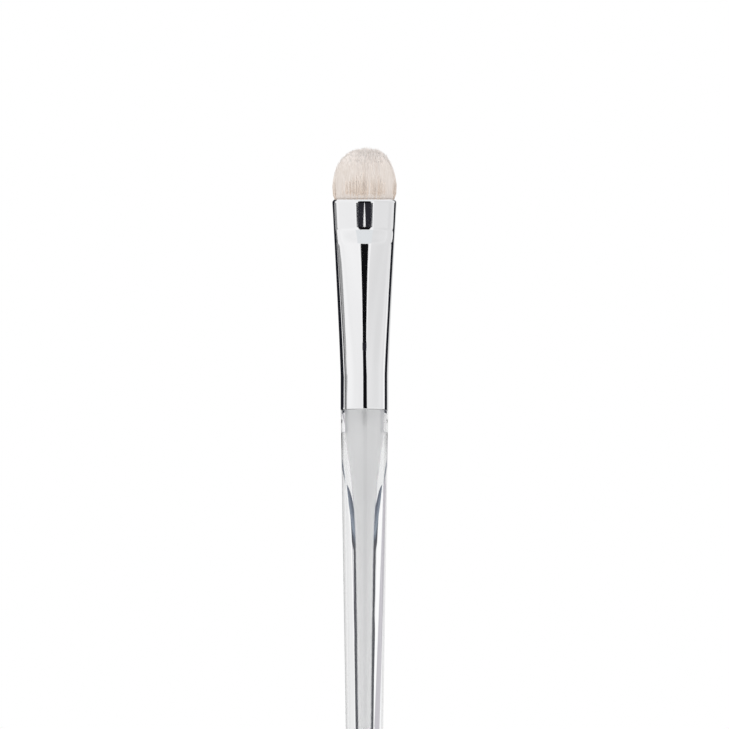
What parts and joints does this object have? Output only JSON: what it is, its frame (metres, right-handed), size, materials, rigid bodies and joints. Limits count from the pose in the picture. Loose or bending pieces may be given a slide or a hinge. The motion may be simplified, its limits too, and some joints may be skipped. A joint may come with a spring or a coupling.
{
  "type": "eyeshadow brush",
  "caption": "Slim eyeshadow brush: domed pale hair tuft in a chrome ferrule pressed from round to flat, on a clear tapered handle with a pale core.",
  "frame": {"origin": "on the brush's axis at the tip of its rounded tail end", "axes": "+Z along the brush from tail to hair tip, X across the wide face of the mouth, Y through its thickness"},
  "size_m": [0.0094, 0.0068, 0.1649],
  "materials": {
    "hair": "soft off-white natural hair",
    "thread": "waxed thread",
    "glue": "cast epoxy",
    "ferrule": "bright plated",
    "core": "satin moulded",
    "handle": "clear polished acrylic"
  },
  "bodies": {
    "root": {"hair_tuft": "hair", "binding_thread": "thread", "root_glue": "glue", "ferrule": "ferrule", "tenon_glue": "glue", "handle_core": "core", "handle": "handle"}
  },
  "joints": []
}
